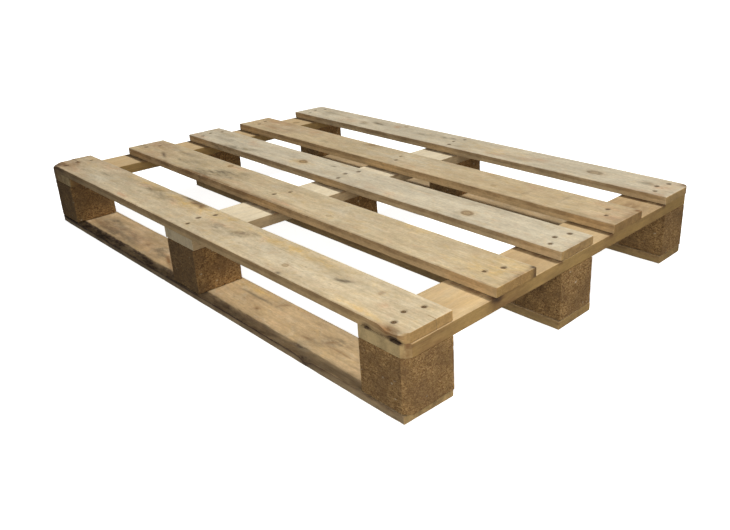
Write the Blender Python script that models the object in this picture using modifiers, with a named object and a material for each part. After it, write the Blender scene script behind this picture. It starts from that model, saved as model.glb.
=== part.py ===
"""Wooden block pallet, 1200 x 800 mm, four-way entry, nailed from sawn boards and pressed-wood blocks.

Frame: metres, +Z up, origin on the floor under the middle of the pallet.
+X runs along the long boards (left to right), +Y across them (front to rear).

From the floor up the layers are: three bottom boards along X, nine blocks, three cross boards along Y,
and five deck boards along X. Long ring-shank nails hold deck, cross board and block together. Short nails
hold the two inner deck boards to the cross boards, with their tips bent over (clinched) underneath.
"""
import math

import bmesh
import bpy
from mathutils import Matrix, Vector

# ---------------------------------------------------------------- driving dimensions (metres)
PALLET_LENGTH = 1.200
PALLET_WIDTH = 0.800
TOUCH_GAP = 0.0003          # air left between two pieces that touch

BOTTOM_THICKNESS = 0.016
BLOCK_HEIGHT = 0.088
CROSS_THICKNESS = 0.0226

SIDES = ("left", "middle", "right")      # columns along X
ROWS = ("front", "centre", "rear")       # rows along Y

# deck boards, front to rear: centre in Y, width, thickness, shift of the whole board along X
DECK_LENGTH = 1.196
DECK_BOARDS = {
    "front": (-0.353, 0.094, 0.0167, -0.002),
    "front_inner": (-0.169, 0.097, 0.0171, 0.002),
    "centre": (-0.002, 0.094, 0.0166, -0.001),
    "rear_inner": (0.1555, 0.097, 0.0171, 0.002),
    "rear": (0.3495, 0.101, 0.0163, 0.001),
}

STACK_INSET_X = 0.003       # blocks and cross boards stand back from the deck's ends
STACK_INSET_Y = 0.002       # and from its long edges
CROSS_WIDTH = {"left": 0.095, "middle": 0.103, "right": 0.096}
BLOCK_LENGTH = {"left": 0.089, "middle": 0.094, "right": 0.096}
BLOCK_WIDTH = 0.092

BOTTOM_WIDTH = 0.096
BOTTOM_SHORTFALL = {"front": 0.007, "centre": 0.0, "rear": 0.001}   # missing length at the right end
CORNER_CHAMFER = 0.012      # the vertical corners of the stack, all but the front left one
SQUARE_CORNER = (-1, -1)    # the front left one, as its x sign and y sign

NAIL_SIDES = 8
NAIL_SINK = 0.0012          # heads punched this far below the deck
NAIL_HEAD_RADIUS = 0.0036
NAIL_HEAD_THICKNESS = 0.0014
NAIL_SHANK_RADIUS = 0.0016
NAIL_RING_RADIUS = 0.0019
NAIL_RINGS = 5
NAIL_RING_PITCH = 0.007
NAIL_LENGTH = 0.080
NAIL_POINT = 0.005          # length of the tapered point
HOLE_CLEARANCE = 0.0005     # radial, on the flat-sided holes
HOLE_MOUTH = 0.006          # the cutter reaches this far above the sunk head
NAIL_SPREAD = 0.0285        # block nails sit at -spread, 0 and +spread across the board
NAIL_STAGGER = 0.011        # the outer two stand this far to the right of the middle one
NAIL_LINE = {               # middle nail, from the cross board's centre
    "left": {"front": -0.0155, "centre": -0.0155, "rear": -0.0155},
    "middle": {"front": 0.0, "centre": 0.0, "rear": 0.0},
    "right": {"front": -0.0015, "centre": 0.001, "rear": 0.003},
}

CLINCH_SHANK_RADIUS = 0.0014
CLINCH_HEAD_RADIUS = 0.0033
CLINCH_BEND_RADIUS = 0.0022
CLINCH_TAIL = 0.009         # straight bent-over end
CLINCH_POINT = 0.003        # length of its tapered point
CLINCH_NECK = 0.0001        # drop over which the head narrows to the shank
CLINCH_HOLE_RUN_OUT = 0.005     # the cutter reaches this far below the lower board
CLINCH_LINE = {"left": -0.006, "middle": 0.003, "right": 0.006}   # pair's middle, from the board's centre
CLINCH_STEP = (0.007, 0.0145)   # each nail of a pair, from the pair's middle, in X and Y
CLINCH_MIRROR = {"front_inner": 1, "rear_inner": -1}

# ---------------------------------------------------------------- levels and stations
BLOCK_BASE = BOTTOM_THICKNESS + TOUCH_GAP
BLOCK_TOP = BLOCK_BASE + BLOCK_HEIGHT - TOUCH_GAP
CROSS_BASE = BLOCK_TOP + TOUCH_GAP
CROSS_TOP = CROSS_BASE + CROSS_THICKNESS - TOUCH_GAP
DECK_BASE = CROSS_TOP + TOUCH_GAP

STACK_END = PALLET_LENGTH / 2 - STACK_INSET_X
STACK_EDGE = PALLET_WIDTH / 2 - STACK_INSET_Y
CROSS_X = {
    "left": -STACK_END + CROSS_WIDTH["left"] / 2,
    "middle": 0.0,
    "right": STACK_END - CROSS_WIDTH["right"] / 2,
}
BLOCK_X = {
    "left": -STACK_END + BLOCK_LENGTH["left"] / 2,
    "middle": 0.0,
    "right": STACK_END - BLOCK_LENGTH["right"] / 2,
}
BLOCK_Y = {
    "front": -STACK_EDGE + BLOCK_WIDTH / 2,
    "centre": 0.0,
    "rear": STACK_EDGE - BLOCK_WIDTH / 2,
}
BOTTOM_Y = {
    "front": -STACK_EDGE + BOTTOM_WIDTH / 2,
    "centre": 0.0,
    "rear": STACK_EDGE - BOTTOM_WIDTH / 2,
}

WEATHERED_WOOD = (0.58, 0.50, 0.38)
WARM_WOOD = (0.52, 0.40, 0.26)
FRESH_WOOD = (0.66, 0.50, 0.31)
PRESSED_WOOD = (0.26, 0.17, 0.10)
BOTTOM_WOOD = (0.42, 0.33, 0.22)
NAIL_STEEL = (0.20, 0.17, 0.15)


# ---------------------------------------------------------------- helpers
def clear_scene():
    for thing in list(bpy.data.objects):
        bpy.data.objects.remove(thing, do_unlink=True)


def new_collection(name):
    collection = bpy.data.collections.new(name)
    bpy.context.scene.collection.children.link(collection)
    return collection


def make_material(name, colour, roughness, metallic=0.0):
    material = bpy.data.materials.new(name)
    material.use_nodes = True
    shader = material.node_tree.nodes["Principled BSDF"]
    shader.inputs["Base Color"].default_value = (*colour, 1.0)
    shader.inputs["Roughness"].default_value = roughness
    shader.inputs["Metallic"].default_value = metallic
    return material


def place(name, mesh, collection, location, colour, roughness, metallic=0.0):
    """Put a mesh in the scene as a named piece with a material of its own."""
    piece = bpy.data.objects.new(name, mesh)
    piece.location = location
    collection.objects.link(piece)
    if not mesh.materials:
        mesh.materials.append(None)
    slot = piece.material_slots[0]
    slot.link = "OBJECT"
    slot.material = make_material(name, colour, roughness, metallic)
    return piece


def sawn_block_mesh(name, size, cut_corners=()):
    """A box centred on its own origin. cut_corners lists the (x sign, y sign) corners to chamfer."""
    shape = bmesh.new()
    bmesh.ops.create_cube(shape, size=1.0)
    bmesh.ops.scale(shape, vec=Vector(size), verts=shape.verts)
    corner_edges = []
    for edge in shape.edges:
        low, high = edge.verts
        upright = abs(low.co.z - high.co.z) > size[2] / 2
        corner = (math.copysign(1, low.co.x), math.copysign(1, low.co.y))
        if upright and corner in cut_corners:
            corner_edges.append(edge)
    if corner_edges:
        bmesh.ops.bevel(shape, geom=corner_edges, offset=CORNER_CHAMFER, segments=1, affect="EDGES")
    mesh = bpy.data.meshes.new(name)
    shape.to_mesh(mesh)
    shape.free()
    return mesh


def turned_mesh(name, profile):
    """Spin an (r, z) profile about Z. It runs from the top of the axis, down the outside, to the axis."""
    outline = bpy.data.meshes.new(name + "_profile")
    points = [(radius, 0.0, height) for radius, height in profile]
    edges = [(index, index + 1) for index in range(len(points) - 1)]
    outline.from_pydata(points, edges, [])
    turner = bpy.data.objects.new(name + "_profile", outline)
    bpy.context.scene.collection.objects.link(turner)
    screw = turner.modifiers.new("turn", "SCREW")
    screw.axis = "Z"
    screw.angle = 2 * math.pi
    screw.steps = NAIL_SIDES
    screw.render_steps = NAIL_SIDES
    screw.use_merge_vertices = True
    screw.merge_threshold = 1e-5
    evaluated = turner.evaluated_get(bpy.context.evaluated_depsgraph_get())
    mesh = bpy.data.meshes.new_from_object(evaluated)
    mesh.name = name
    bpy.data.objects.remove(turner, do_unlink=True)
    bpy.data.meshes.remove(outline)
    return mesh


def joined_copies(name, mesh, places):
    """One mesh holding a copy of the given mesh at each place."""
    group = bmesh.new()
    for spot in places:
        copy = mesh.copy()
        copy.transform(Matrix.Translation(spot))
        group.from_mesh(copy)
        bpy.data.meshes.remove(copy)
    joined = bpy.data.meshes.new(name)
    group.to_mesh(joined)
    group.free()
    return joined


def add_cutter(name, mesh, collection):
    cutter = bpy.data.objects.new(name, mesh)
    cutter.hide_render = True
    cutter.display_type = "WIRE"
    collection.objects.link(cutter)
    return cutter


def cut(piece, cutter):
    boolean = piece.modifiers.new("cut_" + cutter.name, "BOOLEAN")
    boolean.operation = "DIFFERENCE"
    boolean.solver = "EXACT"
    boolean.object = cutter


# ---------------------------------------------------------------- nails
def deck_top(board):
    return DECK_BASE + DECK_BOARDS[board][2]


def ring_nail_profile():
    """Flat head, smooth neck, a stretch of rings and a short point. The head's top is at z = 0."""
    profile = [
        (0.0, 0.0),
        (NAIL_HEAD_RADIUS, 0.0),
        (NAIL_HEAD_RADIUS, -NAIL_HEAD_THICKNESS),
        (NAIL_SHANK_RADIUS, -NAIL_HEAD_THICKNESS),
    ]
    last_ring = -NAIL_LENGTH + NAIL_POINT + NAIL_RING_PITCH / 2
    for ring in range(NAIL_RINGS):
        height = last_ring + (NAIL_RINGS - 1 - ring) * NAIL_RING_PITCH
        profile.append((NAIL_RING_RADIUS, height))
        profile.append((NAIL_SHANK_RADIUS, height - NAIL_RING_PITCH / 2))
    profile.append((0.0, -NAIL_LENGTH))
    return profile


def nail_hole_profile(head_radius, shank_radius, depth):
    """The air a nail needs: open above the sunk head, close round the shank, open below its tip."""
    seat = -NAIL_HEAD_THICKNESS - TOUCH_GAP
    return [
        (0.0, HOLE_MOUTH),
        (head_radius + HOLE_CLEARANCE, HOLE_MOUTH),
        (head_radius + HOLE_CLEARANCE, seat),
        (shank_radius + HOLE_CLEARANCE, seat),
        (shank_radius + HOLE_CLEARANCE, -depth),
        (0.0, -depth),
    ]


def block_nail_places(board, side):
    """Heads of the three nails over a block: a shallow arrow pointing left."""
    centre_y = DECK_BOARDS[board][0]
    line_x = CROSS_X[side] + NAIL_LINE[side][board]
    height = deck_top(board) - NAIL_SINK
    return [
        Vector((line_x + NAIL_STAGGER * abs(step), centre_y + NAIL_SPREAD * step, height))
        for step in (-1, 0, 1)
    ]


def clinch_nail_places(board, side):
    """Heads of the two nails of an inner deck board at a cross board: a slanting pair."""
    centre_y = DECK_BOARDS[board][0]
    line_x = CROSS_X[side] + CLINCH_LINE[side]
    height = deck_top(board) - NAIL_SINK
    step_x, step_y = CLINCH_STEP
    slant = CLINCH_MIRROR[board]
    return [
        Vector((line_x + step_x * sign * slant, centre_y + step_y * sign, height))
        for sign in (-1, 1)
    ]


def clinch_nail_mesh(board, bend_towards):
    """A short nail driven right through two boards, with its end bent flat under the lower one."""
    drop = deck_top(board) - NAIL_SINK - CROSS_BASE
    route = [
        (0.0, 0.0, CLINCH_HEAD_RADIUS),
        (0.0, -NAIL_HEAD_THICKNESS, CLINCH_HEAD_RADIUS),
        (0.0, -NAIL_HEAD_THICKNESS - CLINCH_NECK, CLINCH_SHANK_RADIUS),
    ]
    bend_points = 4
    for index in range(bend_points):
        angle = math.radians(90) * index / (bend_points - 1)
        out = CLINCH_BEND_RADIUS * (1 - math.cos(angle))
        down = drop + CLINCH_BEND_RADIUS * math.sin(angle)
        route.append((out, -down, CLINCH_SHANK_RADIUS))
    tail_end = CLINCH_BEND_RADIUS + CLINCH_TAIL
    route.append((tail_end, -drop - CLINCH_BEND_RADIUS, CLINCH_SHANK_RADIUS))
    route.append((tail_end + CLINCH_POINT, -drop - CLINCH_BEND_RADIUS, CLINCH_SHANK_RADIUS / 3))

    wire = bpy.data.curves.new("clinch_nail_wire", "CURVE")
    wire.dimensions = "3D"
    wire.bevel_depth = 1.0
    wire.bevel_resolution = 2
    wire.use_fill_caps = True
    spline = wire.splines.new("POLY")
    spline.points.add(len(route) - 1)
    for point, (out, height, radius) in zip(spline.points, route):
        point.co = (out * bend_towards, 0.0, height, 1.0)
        point.radius = radius
    maker = bpy.data.objects.new("clinch_nail_wire", wire)
    bpy.context.scene.collection.objects.link(maker)
    evaluated = maker.evaluated_get(bpy.context.evaluated_depsgraph_get())
    mesh = bpy.data.meshes.new_from_object(evaluated)
    bpy.data.objects.remove(maker, do_unlink=True)
    bpy.data.curves.remove(wire)
    welded = bmesh.new()
    welded.from_mesh(mesh)
    bmesh.ops.remove_doubles(welded, verts=welded.verts, dist=1e-6)
    welded.to_mesh(mesh)
    welded.free()
    return mesh


# ---------------------------------------------------------------- build
clear_scene()
pallet = new_collection("wooden_pallet")
cutters = new_collection("cutters")

END_SIGN = {"left": -1, "right": 1}
EDGE_SIGN = {"front": -1, "rear": 1}


def chamfered(corners):
    """The given corners without the one that is left square."""
    return [corner for corner in corners if corner != SQUARE_CORNER]


deck_pieces = {}
for board, (centre_y, width, thickness, shift) in DECK_BOARDS.items():
    corners = [(end, EDGE_SIGN[board]) for end in (-1, 1)] if board in EDGE_SIGN else []
    board_mesh = sawn_block_mesh("deck_board", (DECK_LENGTH, width, thickness), corners)
    colour = WARM_WOOD if board in CLINCH_MIRROR else WEATHERED_WOOD
    where = (shift, centre_y, DECK_BASE + thickness / 2)
    deck_pieces[board] = place("deck_board_" + board, board_mesh, pallet, where, colour, 0.75)

cross_pieces = {}
for side in SIDES:
    corners = chamfered([(END_SIGN[side], edge) for edge in (-1, 1)] if side in END_SIGN else [])
    size = (CROSS_WIDTH[side], 2 * STACK_EDGE, CROSS_TOP - CROSS_BASE)
    cross_mesh = sawn_block_mesh("cross_board", size, corners)
    where = (CROSS_X[side], 0.0, (CROSS_BASE + CROSS_TOP) / 2)
    cross_pieces[side] = place("cross_board_" + side, cross_mesh, pallet, where, FRESH_WOOD, 0.7)

block_pieces = {}
for row in ROWS:
    for side in SIDES:
        at_corner = side in END_SIGN and row in EDGE_SIGN
        corners = chamfered([(END_SIGN[side], EDGE_SIGN[row])] if at_corner else [])
        size = (BLOCK_LENGTH[side], BLOCK_WIDTH, BLOCK_TOP - BLOCK_BASE)
        block_mesh = sawn_block_mesh("block", size, corners)
        where = (BLOCK_X[side], BLOCK_Y[row], (BLOCK_BASE + BLOCK_TOP) / 2)
        name = f"block_{row}_{side}"
        block_pieces[row, side] = place(name, block_mesh, pallet, where, PRESSED_WOOD, 0.9)

for row in ROWS:
    shortfall = BOTTOM_SHORTFALL[row]
    corners = [(end, 1) for end in (-1, 1)] if row == "rear" else []
    size = (2 * STACK_END - shortfall, BOTTOM_WIDTH, BOTTOM_THICKNESS)
    bottom_mesh = sawn_block_mesh("bottom_board", size, corners)
    where = (-shortfall / 2, BOTTOM_Y[row], BOTTOM_THICKNESS / 2)
    place("bottom_board_" + row, bottom_mesh, pallet, where, BOTTOM_WOOD, 0.8)

nail_mesh = turned_mesh("ring_nail", ring_nail_profile())
nail_hole = turned_mesh(
    "ring_nail_hole",
    nail_hole_profile(NAIL_HEAD_RADIUS, NAIL_RING_RADIUS, NAIL_LENGTH + 2 * TOUCH_GAP),
)
for row in ROWS:
    for side in SIDES:
        # the deck board over a row of blocks has the row's name
        spots = block_nail_places(row, side)
        holes = add_cutter(f"holes_{row}_{side}", joined_copies("holes", nail_hole, spots), cutters)
        for piece in (deck_pieces[row], cross_pieces[side], block_pieces[row, side]):
            cut(piece, holes)
        for number, spot in enumerate(spots, start=1):
            place(f"nail_{row}_{side}_{number}", nail_mesh, pallet, spot, NAIL_STEEL, 0.5, 0.9)

for board, slant in CLINCH_MIRROR.items():
    through = deck_top(board) - CROSS_BASE + CLINCH_HOLE_RUN_OUT
    short_hole = turned_mesh(
        "clinch_nail_hole",
        nail_hole_profile(CLINCH_HEAD_RADIUS, CLINCH_SHANK_RADIUS, through),
    )
    for side in SIDES:
        spots = clinch_nail_places(board, side)
        holes = add_cutter(f"holes_{board}_{side}", joined_copies("holes", short_hole, spots), cutters)
        cut(deck_pieces[board], holes)
        cut(cross_pieces[side], holes)
        bend_towards = -1 if side == "right" else 1
        short_nail = clinch_nail_mesh(board, bend_towards)
        for number, spot in enumerate(spots, start=1):
            name = f"clinch_nail_{board}_{side}_{number}"
            place(name, short_nail, pallet, spot, NAIL_STEEL, 0.5, 0.9)
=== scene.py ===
"""Wooden block pallet: the looks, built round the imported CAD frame.

Metres, +Z up, +X along the long boards (left to right), +Y across them (front to rear).
Every wood piece is rebuilt as a dense mesh inside its CAD box. Its own X axis runs along the grain,
so one wood material recipe serves boards that lie along X and boards that lie along Y.
"""

import math

import bpy
import numpy as np
from mathutils import Matrix, Vector


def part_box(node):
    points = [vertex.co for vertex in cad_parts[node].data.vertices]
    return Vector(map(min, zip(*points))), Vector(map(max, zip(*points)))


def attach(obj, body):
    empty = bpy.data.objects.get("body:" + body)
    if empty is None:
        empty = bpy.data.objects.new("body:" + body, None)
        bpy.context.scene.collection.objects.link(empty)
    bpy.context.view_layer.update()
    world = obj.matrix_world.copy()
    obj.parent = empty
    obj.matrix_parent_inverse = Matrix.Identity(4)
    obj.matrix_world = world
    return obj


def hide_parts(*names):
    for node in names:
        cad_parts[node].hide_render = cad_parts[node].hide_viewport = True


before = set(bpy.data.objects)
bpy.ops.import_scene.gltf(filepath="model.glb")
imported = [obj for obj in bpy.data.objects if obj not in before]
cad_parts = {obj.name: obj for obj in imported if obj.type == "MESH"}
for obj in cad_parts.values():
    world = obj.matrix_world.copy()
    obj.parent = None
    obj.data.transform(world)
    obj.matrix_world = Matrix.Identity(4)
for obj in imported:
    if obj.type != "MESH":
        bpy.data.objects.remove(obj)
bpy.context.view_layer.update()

MM = 0.001
ROWS = ("front", "centre", "rear")
SIDES = ("left", "middle", "right")
INNER_BOARDS = ("front_inner", "rear_inner")


# ================ small tools: noise and easing
def lattice_value(ix, iy, iz, seed):
    """A repeatable number from 0 to 1 for every whole-number point."""
    mixed = (ix * 73856093) ^ (iy * 19349663) ^ (iz * 83492791) ^ (seed * 26544357)
    mixed = ((mixed ^ (mixed >> 13)) * 1274126177) & 0xFFFFFFFF
    mixed = ((mixed ^ (mixed >> 16)) * 2246822519) & 0xFFFFFFFF
    mixed = mixed ^ (mixed >> 15)
    return mixed / 0xFFFFFFFF


def value_noise(points, seed):
    """Smooth noise from -1 to 1 with a period of about 1 in each direction."""
    cell = np.floor(points).astype(np.int64)
    part = points - cell
    share = part * part * (3 - 2 * part)
    total = np.zeros(len(points))
    for corner in range(8):
        step = np.array([corner & 1, corner >> 1 & 1, corner >> 2 & 1])
        weight = np.prod(np.where(step == 1, share, 1 - share), axis=1)
        spot = cell + step
        total += weight * lattice_value(spot[:, 0], spot[:, 1], spot[:, 2], seed)
    return total * 2 - 1


def noise(points, scale, seed, octaves=3):
    """Several layers of value noise; scale is in periods per metre along X, Y and Z."""
    total = np.zeros(len(points))
    size = 1.0
    reach = 0.0
    for octave in range(octaves):
        total += size * value_noise(points * np.array(scale) * 2 ** octave + 17.3 * octave, seed + octave)
        reach += size
        size *= 0.5
    return total / reach


def ease(value, low, high):
    """0 below low, 1 above high, smooth between. low may be the larger of the two."""
    part = np.clip((value - low) / (high - low), 0.0, 1.0)
    return part * part * (3 - 2 * part)


def patch(points, x, y, reach_x, reach_y, tilt=0.0):
    """A soft spot: 1 in its middle, falling to 0 past its reach. tilt is in degrees."""
    angle = math.radians(tilt)
    dx, dy = points[:, 0] - x, points[:, 1] - y
    along = dx * math.cos(angle) + dy * math.sin(angle)
    across = dy * math.cos(angle) - dx * math.sin(angle)
    return np.exp(-(along / reach_x) ** 2 - (across / reach_y) ** 2)


# ================ meshes
EDGE_LINES = (0.3 * MM, 0.8 * MM, 1.4 * MM, 2.2 * MM, 3.2 * MM, 4.6 * MM)     # extra lines, in from each end
FOLD_GAP = 0.3 * MM
LEAST_GAP = 0.25 * MM


def stations(low, high, step, dense=(), folds=()):
    """Grid lines from low to high: even ones, finer ones in the dense spans and near both ends, and folds."""
    lines = list(np.linspace(low, high, max(2, round((high - low) / step) + 1)))
    for start, stop, fine in dense:
        start, stop = max(start, low), min(stop, high)
        if stop > start:
            lines += list(np.linspace(start, stop, max(2, round((stop - start) / fine) + 1)))
    for inset in EDGE_LINES:
        lines += [low + inset, high - inset]
    lines = [line for line in lines if all(abs(line - fold) > FOLD_GAP for fold in folds)] + list(folds)
    kept = [low]
    for line in sorted(lines):
        if line - kept[-1] > LEAST_GAP and high - line > LEAST_GAP:
            kept.append(line)
    return np.array(kept + [high])


def box_lattice(xs, ys, zs):
    """Points and outward quads of a closed box that has a grid line at every station."""
    on_surface = np.zeros((len(xs), len(ys), len(zs)), bool)
    on_surface[[0, -1]] = True
    on_surface[:, [0, -1]] = True
    on_surface[:, :, [0, -1]] = True
    number = np.full(on_surface.shape, -1)
    number[on_surface] = np.arange(on_surface.sum())
    i, j, k = np.nonzero(on_surface)
    points = np.column_stack((xs[i], ys[j], zs[k]))

    def sheet(grid, turned):
        corners = (grid[:-1, :-1], grid[1:, :-1], grid[1:, 1:], grid[:-1, 1:])
        quads = np.stack(corners, axis=-1).reshape(-1, 4)
        return quads[:, ::-1] if turned else quads

    quads = np.concatenate((
        sheet(number[:, :, -1], False), sheet(number[:, :, 0], True),
        sheet(number[-1], False), sheet(number[0], True),
        sheet(number[:, -1], True), sheet(number[:, 0], False),
    ))
    return points, quads


def mesh_from(name, points, quads, attributes=()):
    """A smooth-shaded mesh with one named vector attribute for each (name, values) pair."""
    mesh = bpy.data.meshes.new(name)
    mesh.vertices.add(len(points))
    mesh.vertices.foreach_set("co", points.astype(np.float32).ravel())
    mesh.loops.add(quads.size)
    mesh.loops.foreach_set("vertex_index", quads.astype(np.int32).ravel())
    mesh.polygons.add(len(quads))
    mesh.polygons.foreach_set("loop_start", np.arange(0, quads.size, 4, dtype=np.int32))
    mesh.polygons.foreach_set("use_smooth", np.ones(len(quads), bool))
    mesh.update(calc_edges=True)
    for label, values in attributes:
        layer = mesh.attributes.new(label, "FLOAT_VECTOR", "POINT")
        layer.data.foreach_set("vector", values.astype(np.float32).ravel())
    return mesh


def add_object(name, data):
    """Link a new object that holds the given mesh, light or camera."""
    thing = bpy.data.objects.new(name, data)
    bpy.context.scene.collection.objects.link(thing)
    return thing


def add_piece(name, mesh, material, where, node=None):
    """Put a finished mesh in the scene. It rides on the one body and stands for its CAD node."""
    piece = add_object(name, mesh)
    piece.matrix_world = where
    mesh.materials.append(material)
    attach(piece, "root")
    if node:
        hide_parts(node)


def soften_edges(points, half, radius):
    """Round a box's edges: radius is one number for each point. Also gives the outward directions."""
    core = half - radius[:, None]
    nearest = np.clip(points, -core, core)
    out = points - nearest
    out /= np.linalg.norm(out, axis=1)[:, None]
    return nearest + out * radius[:, None], out


def shape_corner(points, half, sign_x, sign_y, radius, rounded):
    """Bend the square upright corner at that end of the box into a quarter circle, or cut it flat."""
    a = (points[:, 0] * sign_x - (half[0] - radius)) / radius
    b = (points[:, 1] * sign_y - (half[1] - radius)) / radius
    inside = (a > 0) & (b > 0)
    a, b = a[inside], b[inside]
    if rounded:
        a, b = a * np.sqrt(1 - b * b / 2), b * np.sqrt(1 - a * a / 2)
    else:
        a, b = a * (1 - b / 2), b * (1 - a / 2)
    points[inside, 0] = sign_x * (half[0] - radius + a * radius)
    points[inside, 1] = sign_y * (half[1] - radius + b * radius)


# ================ wood boards
ARRIS = 1.1 * MM            # usual edge radius
LEAST_ARRIS = 0.4 * MM
DEEPEST_SHARE = 0.8         # of half a board's thickness, the most that an edge or a dent may take away
CRISP_ANGLE = math.radians(38)      # a flat cut's folds are sharper than this, an arris is not
NAIL_DENT = 1.35 * MM
NAIL_DENT_RADIUS = 4.0 * MM
NAIL_DENT_RIM = 6.0 * MM
NAIL_ZONE = 7.0 * MM        # the finer mesh and the dirt round a nail reach this far
NAIL_DIRT_CORE = 3.4 * MM
WAVINESS = 0.5 * MM


def build_board(node, material, material_slot, seed, marks, pith, nails_top=(), nails_below=(), knots=(),
                corners=(), checks=(), worn=(), thin_top=None, thin_below=None, askew=0.0):
    """One sawn board in place of its CAD node. Every position that is passed in is in pallet coordinates.

    knots: (x, y, radius, darkness).
    corners, in the board's own axes: (end, edge, size, whether rounded).
    checks: (where along the board its end is, where the split closes, line across it, width, depth).
    worn: (where along the board, reach, sign of y, sign of z, extra edge radius in mm); a sign of 0 is both.
    marks: a function of the pallet positions that gives six shades.
    thin_top and thin_below: the same, giving the missing thickness in metres.
    pith: how far the tree's middle is from the board's, across it and upward.
    askew: how far the right end slants, from its middle to each edge.
    """
    low, high = (np.array(corner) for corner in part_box(node))
    middle = (low + high) / 2
    half = (high - low) / 2
    where = Matrix.Translation(Vector(middle))
    turned = half[1] > half[0]
    if turned:
        half = half[[1, 0, 2]]
        where = where @ Matrix.Rotation(math.pi / 2, 4, "Z")
    to_local = np.array(where.inverted())
    to_pallet = np.array(where)

    def local(x, y):
        spot = to_local @ np.array([x, y, middle[2], 1.0])
        return spot[0], spot[1]

    top_spots = [local(x, y) for x, y in nails_top]
    low_spots = [local(x, y) for x, y in nails_below]
    dense_x, dense_y = (
        [(spot[axis] - NAIL_ZONE, spot[axis] + NAIL_ZONE, 1.0 * MM) for spot in top_spots + low_spots]
        for axis in (0, 1)
    )
    local_checks = []
    for start, stop, line, width, depth in checks:
        ends = ((line, start), (line, stop)) if turned else ((start, line), (stop, line))
        (start_x, line_y), (stop_x, _) = (local(*end) for end in ends)
        local_checks.append((start_x, stop_x, line_y, width, depth))
        dense_y.append((line_y - 1.5 * width, line_y + 1.5 * width, width / 2))
    flat_cuts = [(end, edge, size) for end, edge, size, rounded in corners if not rounded]
    end_folds = [end * (half[0] - size) for end, _, size in flat_cuts]
    edge_folds = {edge * (half[1] - size) for _, edge, size in flat_cuts}
    points, quads = box_lattice(
        stations(-half[0], half[0], 4.2 * MM, dense_x, end_folds),
        stations(-half[1], half[1], 1.5 * MM, dense_y, edge_folds),
        stations(-half[2], half[2], 2.5 * MM))
    flat = points.copy()
    pallet = points @ to_pallet[:3, :3].T + to_pallet[:3, 3]

    side_y, side_z = np.sign(points[:, 1]), np.sign(points[:, 2])
    along_edge = np.column_stack((points[:, 0], side_y * 3.7, side_z * 5.1))
    radius = ARRIS * (1.0 + 0.55 * noise(along_edge, (22, 1, 1), seed + 5))
    radius += 2.0 * MM * np.clip(noise(along_edge, (34, 1, 1), seed + 9, 2) - 0.42, 0, 1)
    for x, reach, sign_y, sign_z, extra in worn:
        near = np.exp(-((pallet[:, int(turned)] - x) / reach) ** 2)
        near *= (side_y == sign_y) if sign_y else 1
        near *= (side_z == sign_z) if sign_z else 1
        radius += extra * MM * near
    radius = np.clip(radius, LEAST_ARRIS, half[2] * DEEPEST_SHARE)
    points, out = soften_edges(points, half, radius)

    flat_top, flat_below = out[:, 2] > 0.5, out[:, 2] < -0.5
    sink = 0.22 * MM * (1 + noise(flat, (7, 40, 40), seed + 20))
    sink += 0.10 * MM * (1 + noise(flat, (16, 330, 330), seed + 30, 2))
    for spots, face in ((top_spots, flat_top), (low_spots, flat_below)):
        for x, y in spots:
            reach = np.hypot(points[:, 0] - x, points[:, 1] - y)
            sink += face * NAIL_DENT * ease(reach, NAIL_DENT_RIM, NAIL_DENT_RADIUS)
    split = np.zeros(len(points))
    for start, stop, line_y, width, depth in local_checks:
        part = np.clip((points[:, 0] - stop) / (start - stop), 0, 1)
        across = np.clip(1 - np.abs(points[:, 1] - line_y) / width, 0, 1)
        split = np.maximum(split, across * np.sqrt(part))
        face = flat_top | (np.abs(out[:, 0]) > 0.5)
        sink += face * depth * across * np.sqrt(part)
    points -= out * np.minimum(sink, half[2] * DEEPEST_SHARE)[:, None]
    for thin, fixed in ((thin_top, -half[2]), (thin_below, half[2])):       # the other face stays put
        if thin is not None:
            share = 1 - np.clip(thin(pallet), 0, 1.7 * half[2]) / (2 * half[2])
            points[:, 2] = fixed + (points[:, 2] - fixed) * share
    for sign_x, sign_y, size, rounded in corners:
        shape_corner(points, half, sign_x, sign_y, size, rounded)
    points[:, 0] += askew * points[:, 1] / half[1] * ease(points[:, 0], 0.5 * half[0], half[0])
    wander = WAVINESS * noise(flat, (26, 0, 0), seed + 40)
    points[:, 1] += wander * (1 - (flat[:, 1] / half[1]) ** 2)

    local_knots = [(*local(x, y), size, dark) for x, y, size, dark in knots]
    grain, knot_field = grain_fields(flat, local_knots, seed, pith)
    shades = marks(pallet)
    if not turned:
        # brown painted shade on each upper front edge and a pale painted highlight on each upper rear edge
        shades += edge_shade_and_highlight(flat, half, side_z, seed)
    for spots, face in ((top_spots, side_z > 0), (low_spots, side_z < 0)):
        for x, y in spots:
            reach = np.hypot(flat[:, 0] - x, flat[:, 1] - y)
            strength = 0.52 + 0.25 * math.sin(x * 971 + y * 733)
            shades[:, 2] += face * strength * ease(reach, NAIL_ZONE, NAIL_DIRT_CORE)
    # painted shade inside the split cracks
    shades[:, 2] += 0.85 * split
    shades = np.clip(shades, 0, 1)
    attributes = (("grain", grain), ("knot", knot_field), ("marks", shades[:, :3]), ("tints", shades[:, 3:]))
    mesh = mesh_from(node + "_wood", points, quads, attributes)
    if flat_cuts:
        mesh.set_sharp_from_angle(angle=CRISP_ANGLE)
    add_piece(node + "_wood", mesh, material, where, node)


def edge_shade_and_highlight(flat, half, side_z, seed):
    """Painted shade along a board's upper front edge, in brown, and a painted highlight along its upper rear
    edge, which faces the key light, in the paler colour, as shades.
    """
    shades = np.zeros((len(flat), 6))
    reach = (5.0 + 3.5 * noise(flat, (30, 0, 0), seed + 90)) * MM
    front, rear = flat[:, 1] + half[1], half[1] - flat[:, 1]
    # front edge: painted shade; rear edge, which faces the key light: painted highlight
    shades[:, 1] = 0.50 * (side_z > 0) * ease(front, reach, 0.5 * MM)
    shades[:, 5] = 0.60 * (side_z > 0) * ease(rear, reach * 0.8, 0.5 * MM)
    return shades


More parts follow.
